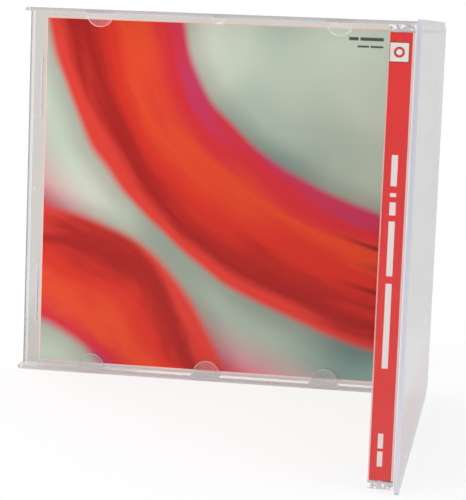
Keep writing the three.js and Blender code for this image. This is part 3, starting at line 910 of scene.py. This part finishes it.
class Growth(Tree):
    """A geometry node tree with named inputs, which ends in one material."""

    def __init__(self, name):
        super().__init__(bpy.data.node_groups.new(name, "GeometryNodeTree"))
        self.start = self.node("NodeGroupInput")
        self.sizes = {}

    def size(self, name, value, kind="NodeSocketFloat"):
        socket = self.tree.interface.new_socket(name, in_out="INPUT", socket_type=kind)
        self.sizes[socket.identifier] = value
        return self.value(self.start.outputs[name])

    def grown(self, name, geometry, material):
        whole = self.node("GeometryNodeRealizeInstances", None, {0: geometry}).outputs[0]
        dress = {"Geometry": whole, "Material": material}
        dressed = self.node("GeometryNodeSetMaterial", None, dress).outputs[0]
        self.tree.interface.new_socket(
            "Geometry", in_out="OUTPUT", socket_type="NodeSocketGeometry",
        )
        self.node("NodeGroupOutput", None, {0: dressed})
        piece = linked(name, bpy.data.meshes.new(name))
        growth = piece.modifiers.new("growth", "NODES")
        growth.node_group = self.tree
        for identifier, value in self.sizes.items():
            growth[identifier] = value
        return piece


def folded_booklet():
    """Sheets folded one inside another: each is a grid bent round the fold at its own radius."""
    sheet = PAGES_HALF / SHEET_COUNT
    tree = Growth("folded_sheets")
    sheets = tree.size("Sheets", SHEET_COUNT, "NodeSocketInt")
    half = tree.size("Half thickness", PAGES_HALF * MM)
    paper = tree.size("Paper", sheet * MM)
    width = tree.size("Width", PAGES_WIDTH * MM)
    height = tree.size("Height", PAGES_HEIGHT * MM)

    line = {"Count": sheets, "Offset": (0, 0, 0)}
    stack = tree.node("GeometryNodeMeshLine", None, line).outputs[0]
    grid = tree.node("GeometryNodeMeshGrid", None, {
        "Size X": 2.0, "Size Y": 1.0, "Vertices X": FOLD_COLUMNS, "Vertices Y": FOLD_ROWS,
    }).outputs[0]
    places = {"Points": stack, "Instance": grid}
    laid = tree.node("GeometryNodeInstanceOnPoints", None, places).outputs[0]
    flat = tree.node("GeometryNodeRealizeInstances", None, {0: laid}).outputs[0]

    # Along each sheet, -1 to 1, the inner half of each side is the bend and the rest is straight
    index = tree.value(tree.node("GeometryNodeInputIndex").outputs[0])
    number = (index / (FOLD_COLUMNS * FOLD_ROWS)).math("FLOOR")
    along, up, _ = tree.split(tree.node("GeometryNodeInputPosition").outputs[0])
    radius = half - (number + 0.5) * paper
    angle = (abs(along) * 2.0).least(1.0) * (math.pi / 2)
    run = (abs(along) * 2.0 - 1.0).most(0.0) * (width - half)
    across = half - radius * angle.math("COSINE") + run
    aside = radius * angle.math("SINE") * along.math("SIGN")
    x = booklet_high.x * MM - across
    y = aside + (PAGES_MIDDLE + FRONT_OFFSET) * MM
    z = (up + 0.5) * height + booklet_low.z * MM
    bend = {"Geometry": flat, "Position": tree.joined(x, y, z)}
    bent = tree.node("GeometryNodeSetPosition", None, bend).outputs[0]

    piece = tree.grown("folded_sheets", bent, booklet_paper())
    leaf = piece.modifiers.new("leaf", "SOLIDIFY")
    leaf.thickness = sheet * SHEET_FILL * MM
    leaf.offset = 0
    finished(piece)
    smooth_to(piece.data, CURVE_ANGLE)
    return stands_for(piece, "booklet", "lid")


def bent_staple(node, name, material):
    """Round wire bent into a crown and two legs."""
    low, high = (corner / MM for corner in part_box(node))
    tree = Growth(name)
    crown = tree.size("Crown", STAPLE_CROWN * MM)
    leg = tree.size("Leg", (high.x - low.x - STAPLE_WIRE) * MM)
    bend = tree.size("Bend", STAPLE_BEND * MM)
    wire = tree.size("Wire radius", STAPLE_WIRE * MM)

    # Four points: a leg's tip, the crown's two corners, and the other leg's tip
    line = tree.node("GeometryNodeMeshLine", None, {"Count": 4, "Offset": (0, 0, 0)}).outputs[0]
    count = tree.value(tree.node("GeometryNodeInputIndex").outputs[0])
    tips = abs(count - 1.5).above(1.0)
    x = (high.x - STAPLE_WIRE) * MM - tips * leg
    z = crown * (count.above(1.5) - 0.5) + (low.z + high.z) / 2 * MM
    shaped = tree.node("GeometryNodeSetPosition", None, {
        "Geometry": line, "Position": tree.joined(x, (low.y + high.y) / 2 * MM, z),
    }).outputs[0]
    path = tree.node("GeometryNodeMeshToCurve", None, {0: shaped}).outputs[0]
    rounded = tree.node("GeometryNodeFilletCurve", {"mode": "POLY"}, {
        "Curve": path, "Count": 6, "Radius": bend,
    }).outputs[0]
    section = tree.node("GeometryNodeCurvePrimitiveCircle", None, {
        "Resolution": 12, "Radius": wire,
    }).outputs[0]
    swept = tree.node("GeometryNodeCurveToMesh", None, {
        "Curve": rounded, "Profile Curve": section, "Fill Caps": True,
    }).outputs[0]

    piece = finished(tree.grown(name, swept, material))
    smooth_to(piece.data, CURVE_ANGLE)
    return stands_for(piece, node, "lid")


def disc_section():
    """The disc's outline from its axis and out from the case's back, round to where it starts."""
    bottom = HALF - disc_high.x + RING_HEIGHT
    top = HALF - disc_low.x
    hole = HOLE_RADIUS
    rim = (disc_high.z - disc_low.z) / 2
    below = [
        (hole, bottom + 0.1), (hole + 0.1, bottom),
        # The stacking ring
        (17.2, bottom), (17.3, bottom - RING_HEIGHT), (17.9, bottom - RING_HEIGHT), (18.0, bottom),
        # A shallow groove
        (20.3, bottom), (20.5, bottom + 0.06), (20.7, bottom),
    ]
    edge = [
        (rim - 0.3, bottom), (rim - 0.09, bottom + 0.09), (rim, bottom + 0.3),
        (rim, top - 0.3), (rim - 0.09, top - 0.09), (rim - 0.3, top),
    ]
    above = [
        # Two shallow grooves, at the print's inner end and at the hub
        (22.6, top), (22.4, top - 0.05), (22.1, top - 0.05), (21.9, top),
        (17.4, top), (17.2, top - 0.1), (16.8, top - 0.1), (16.6, top),
        (hole + 0.1, top), (hole, top - 0.1),
    ]
    return below + edge + above


def pressed_disc():
    """The disc turned from its section: hub groove above, stacking ring below, rounded rim."""
    section = disc_section()
    count = len(section)
    middle_y = (disc_low.y + disc_high.y) / 2
    points, faces = [], []
    for i in range(DISC_STEPS):
        angle = 2 * math.pi * i / DISC_STEPS
        here, there = i * count, (i + 1) % DISC_STEPS * count
        for j, (away, out) in enumerate(section):
            y = middle_y + away * math.cos(angle)
            z = DISC_UP + away * math.sin(angle)
            points.append(Vector((HALF - out, y, z)) * MM)
            after = (j + 1) % count
            faces.append((here + j, here + after, there + after, there + j))
    mesh = bpy.data.meshes.new("pressed_disc")
    mesh.from_pydata(points, [], faces)
    shape = bmesh.new()
    shape.from_mesh(mesh)
    bmesh.ops.recalc_face_normals(shape, faces=shape.faces)
    shape.to_mesh(mesh)
    shape.free()
    smooth_to(mesh, CURVE_ANGLE)
    mesh.materials.append(disc_finish())
    return stands_for(linked("pressed_disc", mesh), "disc", "base")


add_camera()
add_world()
add_floor()
add_softbox("key", (-0.9, -1.1, 1.3), (1.2, 0.9), 9)
add_softbox("fill", (1.3, -0.8, 0.7), (0.8, 0.8), 4)
add_softbox("back", (-0.7, 1.3, 0.9), (1.0, 0.8), 7)
bpy.context.scene.view_settings.view_transform = "Standard"

moulded("front_cover", "lid_moulding", "lid", cover_plastic())
moulded("back_shell", "base_moulding", "base", shell_plastic())
moulded("disc_tray", "tray_moulding", "base", tray_plastic())
folded_booklet()
pressed_disc()
steel = staple_steel()
bent_staple("staple_lower", "lower_wire", steel)
bent_staple("staple_upper", "upper_wire", steel)
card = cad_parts["tray_card"]
card.data.materials.clear()
card.data.materials.append(inlay_print())
